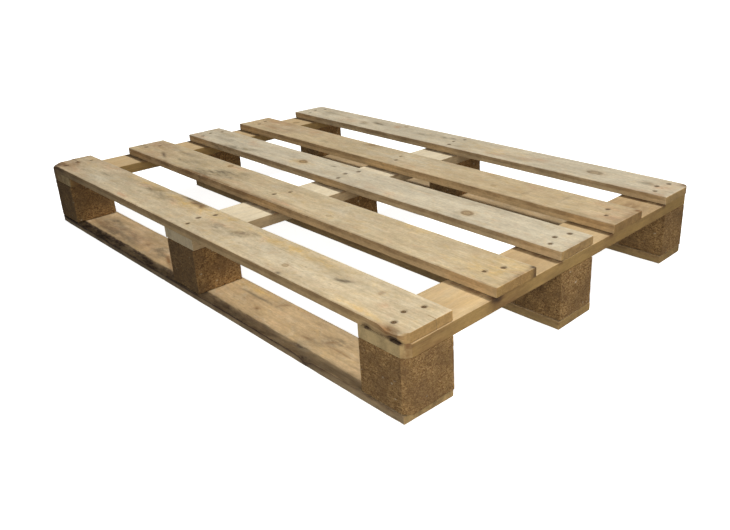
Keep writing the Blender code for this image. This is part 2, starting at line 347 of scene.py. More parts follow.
KNOT_LENGTH = 1.35          # a knot's length over its width
KNOT_SHADOW = 3.2           # the same for the swirl in the grain round it
FAR = 9.0                   # in knot radii, for points with no knot near
KNOT_FIELD_REACH = 6.0


def grain_fields(flat, knots, seed, pith):
    """Two vector fields: where each point sits in the tree, and where it sits round the nearest knot."""
    grain = flat.copy()
    field = np.tile(np.array([FAR, FAR, 0.0]), (len(flat), 1))
    nearest = np.full(len(flat), FAR)
    for x, y, size, dark in knots:
        dx, dy = flat[:, 0] - x, flat[:, 1] - y
        reach = np.hypot(dx / KNOT_SHADOW, dy) / size
        grain[:, 1] -= dy * 0.75 * np.exp(-reach ** 2 / 2.6)
        across = np.hypot(dx / KNOT_LENGTH, dy) / size
        closer = across < nearest
        nearest[closer] = across[closer]
        field[closer, 0] = dx[closer] / KNOT_LENGTH / size
        field[closer, 1] = dy[closer] / size
        field[closer, 2] = dark
    field[nearest > KNOT_FIELD_REACH] = (FAR, FAR, 0.0)
    grain[:, 0] += seed * 1.37
    grain[:, 1] += 0.012 * noise(flat, (1.6, 3, 3), seed + 60, 2) - pith[0]
    grain[:, 2] += 0.010 * noise(flat, (1.2, 2, 2), seed + 70, 2) - pith[1]
    return grain, field


# ================ material tools
def paint(red, green, blue):
    """An everyday 0 to 255 colour as the linear colour that shaders use."""
    shares = [channel / 255 for channel in (red, green, blue)]
    return tuple(s / 12.92 if s <= 0.04045 else ((s + 0.055) / 1.055) ** 2.4 for s in shares) + (1.0,)


class Recipe:
    """A material whose nodes are added one call at a time."""

    def __init__(self, name, roughness, metallic=0.0, specular=0.25):
        self.material = bpy.data.materials.new(name)
        self.material.use_nodes = True
        self.nodes = self.material.node_tree.nodes
        self.links = self.material.node_tree.links
        self.shader = self.nodes["Principled BSDF"]
        self.shader.inputs["Roughness"].default_value = roughness
        self.shader.inputs["Metallic"].default_value = metallic
        self.shader.inputs["Specular IOR Level"].default_value = specular

    def add(self, kind, inputs, output=0, **settings):
        """One node. inputs maps a socket's name or number to a value or to another node's output."""
        node = self.nodes.new(kind)
        for setting, value in settings.items():
            setattr(node, setting, value)
        for socket, value in inputs.items():
            if isinstance(value, bpy.types.NodeSocket):
                self.links.new(value, node.inputs[socket])
            else:
                node.inputs[socket].default_value = value
        return node.outputs[output]

    def attribute(self, name):
        return self.add("ShaderNodeAttribute", {}, "Vector", attribute_name=name)

    def split(self, vector):
        node = self.add("ShaderNodeSeparateXYZ", {0: vector}).node
        return node.outputs[0], node.outputs[1], node.outputs[2]

    def calc(self, operation, first, second=0.0):
        return self.add("ShaderNodeMath", {0: first, 1: second}, operation=operation)

    def times(self, first, second):
        return self.calc("MULTIPLY", first, second)

    def plus(self, first, second):
        return self.calc("ADD", first, second)

    def reach(self, x, y):
        """How far (x, y) is from (0, 0)."""
        return self.calc("SQRT", self.plus(self.calc("POWER", x, 2.0), self.calc("POWER", y, 2.0)))

    def stretch(self, vector, x, y, z):
        return self.add("ShaderNodeVectorMath", {0: vector, 1: (x, y, z)}, operation="MULTIPLY")

    def noise(self, vector, scale, detail=3.0, roughness=0.55, distortion=0.0, output=0):
        inputs = {"Vector": vector, "Scale": scale, "Detail": detail, "Roughness": roughness}
        inputs["Distortion"] = distortion
        return self.add("ShaderNodeTexNoise", inputs, output)

    def cells(self, vector, scale, output, **settings):
        return self.add("ShaderNodeTexVoronoi", {"Vector": vector, "Scale": scale}, output, **settings)

    def ease(self, value, low, high, to_low=0.0, to_high=1.0):
        inputs = {"Value": value, "From Min": low, "From Max": high, "To Min": to_low, "To Max": to_high}
        return self.add("ShaderNodeMapRange", inputs, interpolation_type="SMOOTHSTEP")

    def blend(self, amount, first, second, how="MIX"):
        """first where amount is 0, second where it is 1. A tuple is an everyday 0 to 255 colour."""
        first, second = (paint(*side) if isinstance(side, tuple) else side for side in (first, second))
        inputs = {0: amount, 6: first, 7: second}
        return self.add("ShaderNodeMix", inputs, 2, data_type="RGBA", blend_type=how)

    def relief(self, height, strength, distance):
        bump = self.add("ShaderNodeBump", {"Height": height, "Strength": strength, "Distance": distance})
        self.links.new(bump, self.shader.inputs["Normal"])

    def finish(self, colour, roughness=None):
        self.links.new(colour, self.shader.inputs["Base Color"])
        if roughness is not None:
            self.links.new(roughness, self.shader.inputs["Roughness"])
        return self.material


# everyday 0 to 255 colours of what lies on or in the wood, of the painted shade and painted highlight that
# some of them also stand for, and of the parts of pressed wood
YELLOWED, PINKISH, BLEACHED_AND_HIGHLIGHT = (214, 180, 116), (203, 166, 130), (218, 206, 180)
KNOT_DARK, KNOT_PALE, KNOT_RIM, KNOT_GLOW = (130, 104, 68), (172, 142, 98), (112, 88, 56), (186, 150, 100)
SMUDGE, BROWN_STAIN_AND_SHADE, DIRT_AND_SHADE, SAWN_DIRT = (116, 104, 82), (140, 106, 70), (72, 56, 44), (70, 52, 36)
TICK, SPECK = (128, 106, 76), (104, 82, 58)
CHIP_BROWN, CHIP_PALE, CHIP_FINE, CHIP_DARK = (146, 113, 72), (188, 151, 102), (186, 150, 100), (106, 74, 42)
SPLINTER, CREVICE_SHADE, CHIP_DUST, CHIP_SOIL_AND_SHADE = (214, 194, 162), (78, 53, 30), (116, 90, 62), (74, 60, 44)
WORN_STEEL, RUST, RUST_FLECK = (126, 108, 80), (108, 82, 54), (74, 56, 38)
STAGE_WHITES = (246, 246, 245), (250, 250, 249)

RING_GAP = 3.2 * MM         # between two growth rings
RING_WOBBLE = 2.6           # in rings
SIDE_SHARE = 0.7            # how far the sides and the ends lean to their own colours
KNOT_RING_PITCH = 15.0


def wood_material(name, pale, dark, weather, grey, side, edge_dirt=0.15, end=(172, 136, 80),
                  contrast=0.30, hue_spread=0.26, depth=1.0):
    """Sawn softwood: growth rings, fibres, knots, stains, grey weathering on top, darker sawn sides, and the
    painted shade and painted highlight that the marks and tints carry.

    pale and dark are the two ring colours and contrast says how far the rings go to the dark one; grey
    is the weathered colour and weather how much of it shows on the upper face; side and end are the
    colours that the long upright faces and the ends lean to. hue_spread is the strength of the scattered
    yellow, pink and bleached spots, and depth scales how far the streaks and clouds go.
    """
    mix = Recipe(name, roughness=0.78, specular=0.22)
    grain = mix.attribute("grain")

    def pattern(along, across, *settings):
        """Noise with that many periods per metre along the grain and across it."""
        return mix.noise(mix.stretch(grain, along, across, across), 1.0, *settings)

    band = pattern(1.4, 34.0, 2.0)
    fibres = pattern(9.0, 520.0, 3.0, 0.6)
    streaks = pattern(5.0, 130.0, 4.0, 0.62)
    mottle = pattern(26.0, 60.0, 4.0, 0.6)
    cloud = pattern(6.0, 17.0, 3.0, 0.6)
    grit = pattern(120.0, 230.0, 4.0, 0.75)
    patchy = pattern(18.0, 52.0, 5.0, 0.70)
    ticks = pattern(34.0, 300.0, 3.0, 0.6)
    specks = pattern(95.0, 300.0, 2.0, 0.5)
    sawing = pattern(210.0, 9.0, 1.0, 0.5)

    _, grain_y, grain_z = mix.split(grain)
    rings = mix.calc("DIVIDE", mix.reach(grain_y, grain_z), RING_GAP)
    saw = mix.calc("FRACT", mix.plus(rings, mix.times(pattern(5.0, 38.0), RING_WOBBLE)))
    late_wood = mix.times(mix.ease(saw, 0.35, 0.88), mix.ease(saw, 1.0, 0.93))
    colour = mix.blend(mix.times(late_wood, contrast), pale, dark)
    colour = mix.blend(mix.ease(band, 0.35, 0.7, 0.0, 0.35), colour, dark)
    tint = mix.ease(fibres, 0.3, 0.7, 0.95, 1.04)
    for layer, darker, lighter in (
            (streaks, 0.09, 0.05), (cloud, 0.12, 0.07), (mottle, 0.11, 0.07), (grit, 0.13, 0.10)):
        tint = mix.times(tint, mix.ease(layer, 0.3, 0.7, 1 - darker * depth, 1 + lighter * depth))

    along, _, facing = mix.split(mix.add("ShaderNodeTexCoord", {}, "Normal"))
    upper = mix.ease(facing, 0.3, 0.8)
    upright = mix.ease(mix.calc("ABSOLUTE", facing), 0.85, 0.5)
    end_face = mix.ease(mix.calc("ABSOLUTE", along), 0.5, 0.85)
    greying = mix.times(upper, mix.ease(mottle, 0.3, 0.72, weather * 0.55, weather))
    colour = mix.blend(greying, colour, grey)
    hues = mix.split(pattern(30.0, 56.0, 5.0, 0.68, 0.6, "Color"))
    # the bleached tint also carries the painted highlight of the rear edges
    for hue, placed, tinge in zip(hues, mix.split(mix.attribute("tints")), (YELLOWED, PINKISH, BLEACHED_AND_HIGHLIGHT)):
        scattered = mix.times(mix.times(mix.ease(hue, 0.48, 0.70), upper), hue_spread)
        placed = mix.times(placed, mix.ease(hue, 0.32, 0.62, 0.15, 0.75))
        colour = mix.blend(mix.plus(scattered, placed), colour, tinge)
    colour = mix.blend(mix.times(upright, SIDE_SHARE), colour, side)
    colour = mix.blend(mix.times(end_face, SIDE_SHARE), colour, end)
    colour = mix.blend(mix.times(upright, mix.ease(patchy, 0.42, 0.72, 0.0, edge_dirt)), colour, SAWN_DIRT)

    knot_x, knot_y, knot_dark = mix.split(mix.attribute("knot"))
    from_knot = mix.plus(mix.reach(knot_x, knot_y), mix.ease(mottle, 0.3, 0.7, -0.3, 0.3))
    knot_rings = mix.ease(mix.calc("SINE", mix.times(from_knot, KNOT_RING_PITCH)), -1.0, 1.0)
    heart = mix.times(mix.ease(from_knot, 1.1, 0.7), knot_dark)
    colour = mix.blend(heart, colour, mix.blend(knot_rings, KNOT_DARK, KNOT_PALE))
    rim = mix.times(mix.ease(from_knot, 1.5, 1.0), mix.ease(from_knot, 0.6, 0.95))
    colour = mix.blend(mix.times(rim, knot_dark), colour, KNOT_RIM)
    glow = mix.times(mix.ease(from_knot, 3.0, 1.1), mix.times(knot_dark, 0.30))
    colour = mix.blend(glow, colour, KNOT_GLOW)

    # the dirt and brown channels hold painted shade as well as dirt and stains
    smudge, brown_and_shade, dirt_and_shade = mix.split(mix.attribute("marks"))
    dirt_and_shade = mix.times(dirt_and_shade, mix.ease(patchy, 0.32, 0.59, 0.64, 1.09))
    for amount, ragged, tinge in (
            (smudge, mix.ease(patchy, 0.36, 0.62, 0.10, 0.80), SMUDGE),
            (brown_and_shade, mix.ease(patchy, 0.32, 0.60, 0.30, 1.0), BROWN_STAIN_AND_SHADE),
            (mix.ease(ticks, 0.60, 0.70, 0.0, 0.45 * depth), mix.ease(mottle, 0.45, 0.65), TICK),
            (mix.ease(specks, 0.64, 0.74, 0.0, 0.40 * depth), mix.ease(patchy, 0.42, 0.6), SPECK),
            (dirt_and_shade, mix.ease(grit, 0.36, 0.60, 0.82, 1.08), DIRT_AND_SHADE)):
        colour = mix.blend(mix.times(amount, ragged), colour, tinge)
    tint = mix.add("ShaderNodeCombineColor", {0: tint, 1: tint, 2: tint})
    colour = mix.blend(1.0, colour, tint, "MULTIPLY")

    height = mix.plus(mix.times(fibres, 0.55), mix.times(streaks, 0.8))
    height = mix.plus(height, mix.times(sawing, 0.16))
    height = mix.calc("SUBTRACT", height, mix.times(late_wood, 0.12))
    mix.relief(height, 0.55, 0.9 * MM)
    return mix.finish(colour, mix.ease(streaks, 0.3, 0.7, 0.68, 0.88))


def pressed_material(name):
    """Pressed wood chips: cells of many browns, painted shade in the crevices between chips, fine dust and a
    few pale splinters.
    """
    mix = Recipe(name, roughness=0.9, specular=0.15)
    place = mix.attribute("chips")
    bend = mix.stretch(mix.noise(place, 130.0, 2.0, 0.5, output="Color"), 0.004, 0.004, 0.004)
    bent = mix.add("ShaderNodeVectorMath", {0: place, 1: bend}, operation="ADD")
    large = mix.stretch(bent, 1.0, 1.25, 1.7)
    coarse_pick, coarse_hue, _ = mix.split(mix.cells(large, 190.0, "Color"))
    fine_pick, fine_hue, _ = mix.split(mix.cells(mix.stretch(bent, 1.2, 1.0, 1.5), 430.0, "Color"))
    gap = mix.cells(large, 190.0, "Distance", feature="DISTANCE_TO_EDGE")
    cloud = mix.noise(place, 26.0, 3.0)

    colour = mix.blend(mix.ease(coarse_pick, 0.1, 0.95), CHIP_BROWN, CHIP_PALE)
    # the gap pattern darkens the crevices between chips: painted shade
    for pattern, low, high, most, tinge in (
            (fine_pick, 0.2, 1.0, 0.6, CHIP_FINE), (fine_hue, 0.62, 1.0, 0.7, CHIP_DARK),
            (coarse_hue, 0.993, 0.996, 0.7, SPLINTER), (gap, 0.08, 0.0, 0.75, CREVICE_SHADE),
            (cloud, 0.38, 0.66, 0.52, CHIP_DUST)):
        colour = mix.blend(mix.ease(pattern, low, high, 0.0, most), colour, tinge)
    # the third marks channel is dirt, with painted shade on the front blocks' outer faces
    _, _, soil_and_shade = mix.split(mix.attribute("marks"))
    colour = mix.blend(soil_and_shade, colour, CHIP_SOIL_AND_SHADE)
    height = mix.plus(mix.times(coarse_pick, 0.6), mix.times(fine_pick, 0.5))
    mix.relief(mix.plus(height, mix.ease(gap, 0.0, 0.12, 0.0, 0.7)), 0.7, 0.9 * MM)
    return mix.finish(colour, mix.ease(fine_pick, 0.0, 1.0, 0.82, 0.97))


def nail_material(name):
    """Dull wire-nail steel with rust in clouds and flecks."""
    mix = Recipe(name, roughness=0.6, metallic=0.35, specular=0.3)
    place = mix.add("ShaderNodeTexCoord", {}, "Object")
    rust = mix.noise(place, 420.0, 5.0, 0.65)
    fleck = mix.noise(place, 1500.0, 3.0, 0.6)
    colour = mix.blend(mix.ease(rust, 0.38, 0.6), WORN_STEEL, RUST)
    colour = mix.blend(mix.ease(fleck, 0.55, 0.75, 0.0, 0.7), colour, RUST_FLECK)
    mix.relief(mix.plus(rust, fleck), 0.4, 0.2 * MM)
    return mix.finish(colour, mix.ease(rust, 0.35, 0.65, 0.42, 0.8))


def pale_material(name, glow):
    """A plain pale stage surface that also gives off some light of its own."""
    mix = Recipe(name, roughness=0.9, specular=0.1)
    place = mix.add("ShaderNodeTexCoord", {}, "Object")
    colour = mix.blend(mix.ease(mix.noise(place, 1.3, 4.0), 0.3, 0.7), *STAGE_WHITES)
    mix.shader.inputs["Emission Color"].default_value = (1.0, 1.0, 1.0, 1.0)
    mix.shader.inputs["Emission Strength"].default_value = glow
    return mix.finish(colour)


# ================ nails
ROUND_SIDES = 20
NAIL_CREASE = math.radians(50)      # folds sharper than this stay crisp
HEAD_THICKNESS = 1.4 * MM
SHANK_START = -1.8 * MM


def swept_mesh(name, route):
    """A closed round bar. route lists (out along X, height, lean in radians, radius); lean 0 points down."""
    turn = np.arange(ROUND_SIDES)[:, None] * 2 * math.pi / ROUND_SIDES
    after = [*range(1, ROUND_SIDES), 0]
    rings = []
    for out, height, lean, radius in route:
        across = np.array([math.cos(lean), 0.0, math.sin(lean)])
        round_it = np.cos(turn) * across + np.sin(turn) * np.array([0.0, 1.0, 0.0])
        rings.append(np.array([out, 0.0, height]) + radius * round_it)
    caps = [ring.mean(axis=0)[None, :] for ring in (rings[0], rings[-1])]
    points = np.concatenate(rings + caps)
    faces = []
    for index in range(len(route) - 1):
        here, there = index * ROUND_SIDES, (index + 1) * ROUND_SIDES
        faces += [(here + side, there + side, there + n, here + n) for side, n in enumerate(after)]
    top, tip, last = len(points) - 2, len(points) - 1, (len(route) - 1) * ROUND_SIDES
    for side, n in enumerate(after):
        faces += [(top, side, n), (tip, last + n, last + side)]
    mesh = bpy.data.meshes.new(name)
    mesh.from_pydata(points.tolist(), [], faces)
    mesh.polygons.foreach_set("use_smooth", np.ones(len(mesh.polygons), bool))
    mesh.set_sharp_from_angle(angle=NAIL_CREASE)
    return mesh


def straight(*stops):
    """Route steps of a straight nail, from (height, radius) pairs."""
    return [(0.0, height, 0.0, radius) for height, radius in stops]


def head_route(radius, shank):
    """A flat nail head with a rounded rim and a slightly dished top, and the start of the shank."""
    return straight(
        (-0.25 * MM, radius * 0.35), (-0.10 * MM, radius * 0.66), (0.0, radius * 0.86),
        (-0.08 * MM, radius * 0.95), (-0.32 * MM, radius), (-HEAD_THICKNESS * 0.75, radius * 0.97),
        (-HEAD_THICKNESS, radius * 0.8), (SHANK_START, shank))


def ring_nail_route(length, rings, shank=1.6 * MM):
    """A nail with rings round the lower part of its shank and a pointed tip."""
    first, last = -length * 0.42, -length + 7 * MM
    pitch = (last - first) / rings
    route = head_route(3.7 * MM, shank)
    for ring in range(rings):
        height = first + (last - first) * ring / rings
        route += straight((height, shank), (height + pitch * 0.75, shank + 0.25 * MM))
    return route + straight((last, shank), (-length + 4 * MM, shank), (-length, 0.25 * MM))


def clinch_nail_route(drop, towards, shank=1.4 * MM, bend=2.2 * MM, tail=9 * MM, steps=8):
    """A nail through two boards that turns flat along the lower face."""
    route = head_route(3.4 * MM, shank)
    for index in range(steps + 1):
        angle = math.pi / 2 * index / steps
        out = towards * bend * (1 - math.cos(angle))
        route.append((out, -drop - bend * math.sin(angle), towards * angle, shank))
    for reach, radius in ((bend + tail, shank), (bend + tail + 3 * MM, shank * 0.25)):
        route.append((towards * reach, -drop - bend, towards * math.pi / 2, radius))
    return route


# ================ the stage: camera, lights, floor
def aim(thing, target, roll=0.0):
    direction = Vector(target) - thing.location
    thing.rotation_mode = "QUATERNION"
    facing = (-direction).to_track_quat("Z", "Y")
    thing.rotation_quaternion = facing @ Matrix.Rotation(math.radians(roll), 3, "Z").to_quaternion()


lens = bpy.data.cameras.new("camera")
lens.sensor_width = 36.0
lens.lens = 35.36
lens.shift_x = -0.0959
lens.shift_y = -0.0548
camera = add_object("camera", lens)
camera.location = (1.1822, -0.9408, 0.6097)
aim(camera, (0.2101, 0.0596, 0.0581), roll=-1.342)
bpy.context.scene.camera = camera


def add_light(name, kind, spot, target, power, colour):
    light = bpy.data.lights.new(name, kind)
    light.energy = power
    light.color = colour
    lamp = add_object(name, light)
    lamp.location = spot
    aim(lamp, target)
    return light


KEY_FROM = Vector((0.08, 0.55, 0.83)).normalized() * 4
key_light = add_light("key_light", "SUN", KEY_FROM, (0, 0, 0), 2.32, (1.0, 0.98, 0.94))
key_light.angle = math.radians(5.0)
WARM = (1.0, 0.965, 0.88)
add_light("front_fill", "AREA", (1.05, -1.15, 0.60), (0.2, -0.3, 0.05), 6.1, WARM).size = 0.6
add_light("side_fill", "AREA", (1.90, -0.30, 0.70), (0.4, -0.1, 0.05), 9.2, WARM).size = 0.8

world = bpy.data.worlds.new("studio")
world.use_nodes = True
sky = world.node_tree.nodes["Background"]
sky.inputs["Color"].default_value = (0.93, 0.96, 1.0, 1.0)
sky.inputs["Strength"].default_value = 0.20
bpy.context.scene.world = world
bpy.context.scene.view_settings.view_transform = "Standard"


def add_stage_surface(name, corners, faces, glow, unseen_by):
    """A pale surface that the camera sees and the listed kinds of light ray don't."""
    mesh = bpy.data.meshes.new(name)
    mesh.from_pydata(corners, [], faces)
    mesh.materials.append(pale_material("pale_" + name, glow))
    surface = add_object(name, mesh)
    for kind_of_ray in unseen_by:
        setattr(surface, f"visible_{kind_of_ray}", False)
    return surface


FLOOR_REACH, FLOOR_HEIGHT = 30.0, -0.0005
corners = [(x * FLOOR_REACH, y * FLOOR_REACH, FLOOR_HEIGHT) for x, y in ((-1, -1), (1, -1), (1, 1), (-1, 1))]
floor = add_stage_surface("floor", corners, [(0, 1, 2, 3)], 0.85, ("diffuse", "glossy"))

WALL_REACH, WALL_FOOT, WALL_TOP, PANELS = 28.0, -0.01, 25.0, 48
corners = [
    (WALL_REACH * math.cos(turn), WALL_REACH * math.sin(turn), z)
    for z in (WALL_FOOT, WALL_TOP)
    for turn in (2 * math.pi * number / PANELS for number in range(PANELS))
]
faces = [(n, (n + 1) % PANELS, (n + 1) % PANELS + PANELS, n + PANELS) for n in range(PANELS)]
wall = add_stage_surface(
    "backdrop", corners, faces, 1.0, ("diffuse", "glossy", "shadow", "transmission", "volume_scatter"))
wall.data.materials[0].cycles.emission_sampling = "NONE"


# ================ nail positions, read from the frame
CLINCH_HEAD_INSET = 3.3 * MM
BOTTOM_NAIL_SINK = 1.0 * MM


def head_spot(node):
    """The middle of a node's upper face. A clinched nail's head is at the end away from its bent tip."""
    low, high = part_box(node)
    x = (low[0] + high[0]) / 2
    if node.startswith("clinch"):
        x = high[0] - CLINCH_HEAD_INSET if "right" in node else low[0] + CLINCH_HEAD_INSET
    return x, (low[1] + high[1]) / 2, high[2]


def labels(boards, numbers):
    return [f"{board}_{side}_{number}" for board in boards for side in SIDES for number in numbers]


ring_heads = {label: head_spot(f"nail_{label}") for label in labels(ROWS, (1, 2, 3))}
clinch_heads = {label: head_spot(f"clinch_nail_{label}") for label in labels(INNER_BOARDS, (1, 2))}
bottom_heads = {}       # the nails from below have no nodes, so they are set out from the blocks
for label in labels(ROWS, (1, 2, 3)):
    row, side, number = label.split("_")
    x, y = head_spot(f"block_{row}_{side}")[0], head_spot(f"bottom_board_{row}")[1]
    step = int(number) - 2
    bottom_heads[label] = (x - 0.010 * abs(step) + 0.004, y + 0.027 * step)


def heads_on(board, heads):
    """Where across the pallet the nails of one board are."""
    return [spot[:2] for label, spot in heads.items() if label.startswith(board + "_")]


# ================ marks on the boards
# the dirt and brown kinds carry painted shade as well as real dirt and stains, and the pale kind also carries
# a painted highlight
MARK_KINDS = ("grey", "brown_and_shade", "dirt_and_shade", "yellow", "pink", "pale")


def make_marks(table, seed, wear=0.0):
    """A marks function. The table has rows for each kind of mark: x, y, reach along x, reach across it,
    strength and sometimes a tilt, in millimetres and degrees. wear is the strength of scattered grey."""
    def marks(pallet):
        shades = np.zeros((len(pallet), len(MARK_KINDS)))
        cloud = noise(pallet, (26, 60, 60), seed + 80)
        for kind, rows in table.items():
            for x, y, reach_x, reach_y, strength, *tilt in rows:
                spot = patch(pallet, x * MM, y * MM, reach_x * MM, reach_y * MM, *tilt)
                shades[:, MARK_KINDS.index(kind)] += strength * spot * (1 + 0.6 * cloud)
        shades[:, 0] += wear * np.clip(cloud - 0.15, 0, 1)
        return shades

    return marks


FRONT_MARKS = {
    "grey": [
        (-95, -311.5, 60, 3.5, 1.2), (-68, -322, 8, 5, 0.7), (-160, -345, 30, 10, 0.5),
        (-480, -368, 13, 6, 1.2), (-412, -346, 22, 7, 1.3), (-385, -354, 14, 5, 0.8),
        (-235, -355, 10, 6, 0.7), (75, -357, 22, 11, 1.4, -15), (130, -347, 20, 11, 1.8, 10),
        (150, -336, 16, 10, 0.7), (412, -347, 16, 4, 1.6, 18), (460, -341, 5, 6, 0.6),
        (576, -400, 8, 3, 1.2), (560, -386, 12, 6, 0.7), (-200, -331, 90, 10, 0.6),
    ],
    "brown_and_shade": [
        (-50, -318, 10, 6, 0.9, -20), (-556, -353, 16, 4, 0.7, -20), (-580, -390, 30, 14, 0.9, 20),
        (-597, -350, 6, 50, 1), (485, -337, 4, 8, 1, 5), (568, -395, 18, 6, 1), (-70, -317, 35, 8, 0.6),
        (-555, -365, 55, 35, 0.65),
    ],
    "dirt_and_shade": [
        (-592, -397, 26, 8, 0.8, 20), (314.5, -395.5, 4.5, 2.8, 1.2, -10), (128, -345, 12, 2.6, 0.6, 12),
        (74, -358, 12, 2.4, 0.35, -15), (-108, -310.5, 20, 2.2, 0.7), (-74, -317, 11, 2, 0.6, 25),
        (-50, -321, 10, 2, 0.6, -25), (412, -347, 10, 2, 0.45, 18), (-530, -400.5, 90, 3, 0.45),
        (-276, -328, 16, 2, 0.35, 20), (-238, -331, 18, 2, 0.4, -15), (-205, -325, 14, 2, 0.4, 25),
        (-183, -334.5, 16, 2, 0.45, -20), (-150, -328, 14, 2, 0.4, 20), (-130, -338, 14, 2, 0.4, -10),
    ],
    "yellow": [
        (-565, -318, 20, 8, 0.9), (-290, -318, 60, 10, 0.9), (-225, -320, 30, 10, 0.9),
        (-80, -328, 90, 14, 1.2), (50, -318, 60, 12, 0.8), (260, -326, 120, 14, 1), (500, -392, 60, 7, 0.9),
    ],
    "pink": [
        (-460, -318, 70, 14, 0.9), (-520, -385, 80, 12, 0.8), (-262, -328, 30, 8, 1),
        (-245, -390, 30, 7, 1.1), (-120, -340, 30, 8, 0.9, -10), (60, -342, 60, 6, 0.8),
        (184, -334, 8, 6, 1.4, -30), (513, -360, 8, 6, 1.2), (308, -392, 12, 6, 1),
    ],
    "pale": [(-410, -366, 80, 16, 1), (260, -362, 100, 20, 0.8)],
}
FRONT_INNER_MARKS = {
    "grey": [
        (-225, -190, 50, 22, 1.6, 15), (-190, -175, 30, 14, 1.3, -20), (-270, -200, 30, 10, 0.9),
        (-170, -150, 20, 10, 0.5), (-372, -183, 22, 6, 1.2, -10), (-330, -170, 60, 10, 0.7, 10),
        (-430, -150, 50, 8, 0.7),
    ],
    "brown_and_shade": [
        (-300, -213, 160, 4, 0.9), (-500, -165, 100, 40, 0.4), (598, -165, 5, 50, 0.5),
        (-60, -213, 200, 4, 0.5),
    ],
    "dirt_and_shade": [
        (-455, -190, 30, 4, 0.7, -22), (-262, -196, 14, 1.8, 0.6, 28), (-243, -186, 16, 1.8, 0.6, -10),
        (-225, -199, 18, 1.8, 0.7, 12), (-204, -189, 14, 1.8, 0.6, -6), (-188, -178, 12, 1.8, 0.5, 18),
        (-216, -172, 12, 1.8, 0.4, -14), (597, -124, 6, 6, 0.8),
    ],
    "yellow": [(-560, -200, 30, 12, 1), (560, -165, 50, 50, 0.7), (350, -130, 50, 8, 0.7)],
    "pink": [
        (-243, -135, 22, 8, 1.5, -10), (-200, -133, 20, 8, 1.2), (-560, -150, 40, 20, 1),
        (-480, -200, 50, 15, 0.7), (60, -205, 50, 8, 0.9), (-120, -195, 60, 10, 0.7),
    ],
    "pale": [(200, -160, 60, 20, 0.7), (-40, -155, 30, 12, 0.7)],
}
CENTRE_MARKS = {
    "grey": [
        (-522, 0, 12, 7, 1.4), (-480, 5, 80, 20, 0.5, -10), (-390, -40, 60, 10, 1.1, 10),
        (-340, -28, 50, 8, 0.7, 10), (-60, 15, 8, 5, 0.7), (350, -32, 18, 6, 0.7, -30),
        (376, -22, 14, 4, 0.7, 30), (530, 12, 20, 12, 0.4),
    ],
    "brown_and_shade": [(597, 0, 6, 40, 0.5)],
    "yellow": [(-480, 30, 60, 10, 0.5), (-150, -12, 30, 14, 0.8)],
    "pink": [(-375, 12, 25, 8, 1.3, -20), (-560, -38, 30, 8, 1), (150, -30, 60, 10, 0.5)],
    "pale": [(-445, -20, 60, 15, 0.7), (355, 25, 10, 8, 0.8)],
}
REAR_INNER_MARKS = {
    "grey": [(-250, 147, 25, 12, 0.7, -15), (380, 155, 6, 25, 0.5, -10)],
    "brown_and_shade": [
        (-128, 190, 28, 10, 0.6), (400, 155, 200, 60, 0.18), (596, 150, 8, 50, 0.5), (595, 197, 7, 8, 0.9),
        (-470, 165, 110, 45, 0.28),
    ],
    "dirt_and_shade": [(458, 168, 1.5, 20, 0.35)],
    "yellow": [(-515, 190, 50, 15, 0.9)],
    "pink": [
        (-520, 185, 60, 20, 1.3), (-470, 145, 70, 15, 1), (-360, 180, 80, 20, 0.6),
        (370, 185, 18, 12, 1.4, -30), (515, 185, 12, 10, 1), (575, 155, 30, 50, 0.8), (60, 130, 80, 10, 0.5),
    ],
    "pale": [(-430, 165, 60, 12, 0.6), (20, 165, 140, 35, 0.8)],
}
REAR_MARKS = {
    "grey": [
        (-408, 357, 15, 8, 1.2, -25), (-283, 356, 24, 8, 1.3, -10), (-325, 335, 20, 12, 1, -40),
        (-500, 360, 30, 14, 0.6), (-100, 352, 30, 10, 0.8, 10), (-40, 358, 12, 7, 1.1, -20),
        (-15, 365, 10, 6, 0.8), (408, 347, 16, 10, 1.2), (530, 355, 20, 15, 0.6),
    ],
    "brown_and_shade": [(592, 392, 14, 14, 1)],
    "dirt_and_shade": [(596, 396, 8, 10, 0.4)],
    "yellow": [(100, 345, 120, 30, 0.8)],
    "pink": [
        (-220, 362, 14, 10, 1.1), (-380, 335, 50, 15, 0.8), (250, 345, 40, 15, 0.8), (170, 325, 30, 10, 0.8),
        (570, 350, 30, 30, 0.8), (550, 306, 50, 6, 1),
    ],
    "pale": [(20, 345, 140, 35, 0.7)],
}


# ================ missing wood
FRONT_DECK_EDGE = -0.400
FRONT_BOTTOM_EDGE = -0.398
ON_FRONT_DECK_FACE = -0.396         # points with a smaller y are on the upright front face
ON_FRONT_BOTTOM_FACE = -0.3965
WANE_WIDTH = 19 * MM


def worn_near_corners(pallet):
    """Missing thickness: the front deck board's near corners are rubbed down, the right one is bitten too."""
    x, from_edge = pallet[:, 0], pallet[:, 1] - FRONT_DECK_EDGE
    rough = 1 + 0.25 * noise(pallet, (110, 150, 0), 901)
    bite = np.exp(-np.abs((x - 0.568) / 0.016) ** 3) * ease(from_edge, 0.013 * rough, 0.001)
    rubbed = ease(x, 0.545, 0.580) * ease(from_edge, 0.009, 0.0)
    left = ease(x, -0.555, -0.600) * ease(from_edge, 0.024, 0.0)
    return (0.0050 * bite + 0.0045 * rubbed + 0.0055 * left) * rough


def lost_splinters(pallet):
    """Where splinters are missing from the same board's lower front edge, over the cross board."""
    spot = 0.3 * ease(pallet[:, 0], 0.512, 0.520) * ease(pallet[:, 0], 0.596, 0.586)
    for middle, reach, share in ((0.521, 0.010, 0.5), (0.577, 0.012, 0.8)):
        spot += share * np.exp(-np.abs((pallet[:, 0] - middle) / reach) ** 3)
    return spot


def split_below_front(pallet):
    """Missing thickness where the splinters are lost."""
    return 0.0056 * lost_splinters(pallet) * ease(pallet[:, 1] - FRONT_DECK_EDGE, 0.020, 0.004)


